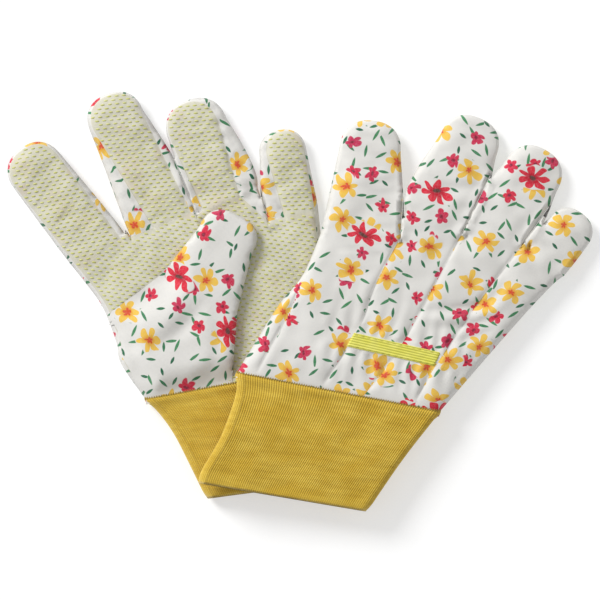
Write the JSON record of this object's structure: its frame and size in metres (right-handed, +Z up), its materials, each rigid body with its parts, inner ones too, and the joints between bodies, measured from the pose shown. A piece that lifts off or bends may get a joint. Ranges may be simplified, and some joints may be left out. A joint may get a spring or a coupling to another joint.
{
  "type": "gardening gloves",
  "caption": "Pair of light cotton garden gloves with printed backs, dotted palms and finger fronts, elastic on the back and ribbed knit cuffs, laid flat one over the other.",
  "frame": {"origin": "bottom centre of the pair's bounding box, on the surface the pair lies on", "axes": "+Z up, away from the surface; +Y towards the fingertips; +X from the left-hand glove to the right-hand glove"},
  "size_m": [0.3268, 0.2346, 0.0242],
  "materials": {
    "printed_cotton": "matt woven cotton with a small printed flower pattern",
    "dotted_cotton": "matt woven cotton covered with rows of small raised rubbery dashes",
    "rib_knit": "fine ribbed knit, mustard yellow",
    "elastic_webbing": "ribbed elastic webbing, lime yellow",
    "sewing_thread": "twisted sewing thread"
  },
  "bodies": {
    "left_hand": {"left_palm_panel": "dotted_cotton", "left_thumb_wing": "printed_cotton", "left_index_back_strip": "printed_cotton", "left_middle_back_strip": "printed_cotton", "left_ring_back_strip": "printed_cotton", "left_little_back_strip": "printed_cotton", "left_knit_cuff": "rib_knit", "left_cuff_overlock": "sewing_thread", "left_elastic_band": "elastic_webbing", "left_elastic_stitching": "sewing_thread"},
    "left_index": {"left_index_front": "dotted_cotton", "left_index_back": "printed_cotton"},
    "left_middle": {"left_middle_front": "dotted_cotton", "left_middle_back": "printed_cotton"},
    "left_ring": {"left_ring_front": "dotted_cotton", "left_ring_back": "printed_cotton"},
    "left_little": {"left_little_front": "dotted_cotton", "left_little_back": "printed_cotton"},
    "left_thumb": {"left_thumb_front": "printed_cotton", "left_thumb_back": "printed_cotton"},
    "right_hand": {"right_palm_panel": "dotted_cotton", "right_thumb_wing": "printed_cotton", "right_index_back_strip": "printed_cotton", "right_middle_back_strip": "printed_cotton", "right_ring_back_strip": "printed_cotton", "right_little_back_strip": "printed_cotton", "right_knit_cuff": "rib_knit", "right_cuff_overlock": "sewing_thread", "right_elastic_band": "elastic_webbing", "right_elastic_stitching": "sewing_thread"},
    "right_index": {"right_index_front": "dotted_cotton", "right_index_back": "printed_cotton"},
    "right_middle": {"right_middle_front": "dotted_cotton", "right_middle_back": "printed_cotton"},
    "right_ring": {"right_ring_front": "dotted_cotton", "right_ring_back": "printed_cotton"},
    "right_little": {"right_little_front": "dotted_cotton", "right_little_back": "printed_cotton"},
    "right_thumb": {"right_thumb_front": "printed_cotton", "right_thumb_back": "printed_cotton"}
  },
  "joints": [
    {"name": "left_index_fold", "type": "hinge", "parent": "left_hand", "child": "left_index", "pos_m": [-0.1121, 0.026, 0.0087], "axis": [0.7923, 0.6101, 0], "range_deg": [0, 90]},
    {"name": "left_middle_fold", "type": "hinge", "parent": "left_hand", "child": "left_middle", "pos_m": [-0.0774, 0.0422, 0.0087], "axis": [0.9304, 0.3665, 0], "range_deg": [0, 90]},
    {"name": "left_ring_fold", "type": "hinge", "parent": "left_hand", "child": "left_ring", "pos_m": [-0.0408, 0.0557, 0.0087], "axis": [0.9232, 0.3843, 0], "range_deg": [0, 90]},
    {"name": "left_little_fold", "type": "hinge", "parent": "left_hand", "child": "left_little", "pos_m": [-0.0043, 0.0472, 0.0087], "axis": [0.982, 0.1891, 0], "range_deg": [0, 90]},
    {"name": "left_thumb_fold", "type": "hinge", "parent": "left_hand", "child": "left_thumb", "pos_m": [-0.0566, 0.0042, 0.0158], "axis": [0.8949, -0.4462, 0], "range_deg": [0, 110]},
    {"name": "right_index_fold", "type": "hinge", "parent": "right_hand", "child": "right_index", "pos_m": [0.03343, 0.03448, 0.01766], "axis": [0.9923, -0.1137, -0.0491], "range_deg": [0, 75]},
    {"name": "right_middle_fold", "type": "hinge", "parent": "right_hand", "child": "right_middle", "pos_m": [0.07538, 0.04236, 0.01546], "axis": [0.926, -0.3751, -0.043], "range_deg": [0, 75]},
    {"name": "right_ring_fold", "type": "hinge", "parent": "right_hand", "child": "right_ring", "pos_m": [0.10973, 0.03734, 0.01377], "axis": [0.8561, -0.5155, -0.038], "range_deg": [0, 75]},
    {"name": "right_little_fold", "type": "hinge", "parent": "right_hand", "child": "right_little", "pos_m": [0.1375, 0.02073, 0.01254], "axis": [0.7827, -0.6215, -0.0331], "range_deg": [0, 75]},
    {"name": "right_thumb_swing", "type": "hinge", "parent": "right_hand", "child": "right_thumb", "pos_m": [0.04103, -0.00634, 0.00599], "axis": [-0.0506, -0.0105, -0.9987], "range_deg": [-2, 25]},
    {"name": "right_glove_lift", "type": "slide", "parent": "left_hand", "child": "right_hand", "axis": [0, 0, 1], "range_m": [0, 0.12]}
  ]
}
